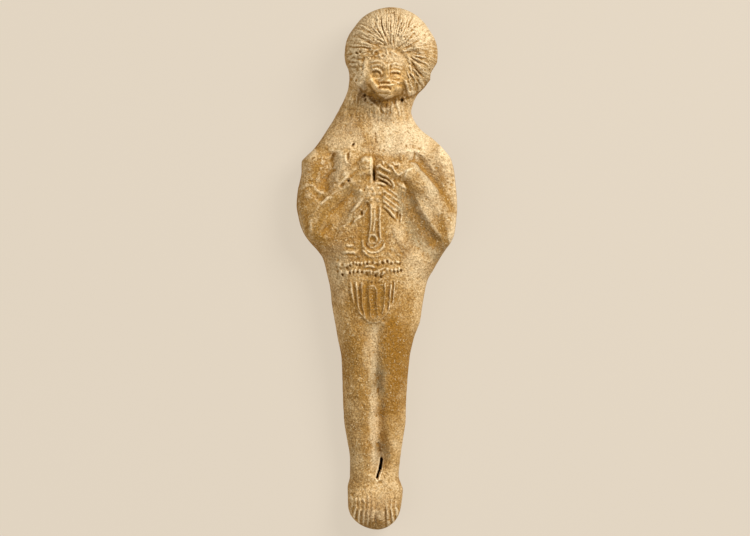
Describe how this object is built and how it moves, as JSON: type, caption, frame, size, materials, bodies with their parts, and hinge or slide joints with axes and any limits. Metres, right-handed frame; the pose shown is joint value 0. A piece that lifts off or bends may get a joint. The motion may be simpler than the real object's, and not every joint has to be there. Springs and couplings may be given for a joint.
{
  "type": "terracotta fertility figurine",
  "caption": "Flat-backed mould-pressed terracotta figurine of a standing woman, hands at her breasts, with a dressed head, pendant, beaded girdle, fringed apron and closed legs.",
  "frame": {"origin": "middle of the outline on the plane that the flat back rests on", "axes": "+Z out of the front (upwards as it lies), +Y from the toes to the crown, +X to the right of someone looking at the front"},
  "size_m": [0.051, 0.165, 0.0247],
  "materials": {
    "terracotta": "matt unglazed buff terracotta, gritty, worn and earth-stained"
  },
  "bodies": {
    "root": {"figurine": "terracotta"}
  },
  "joints": []
}
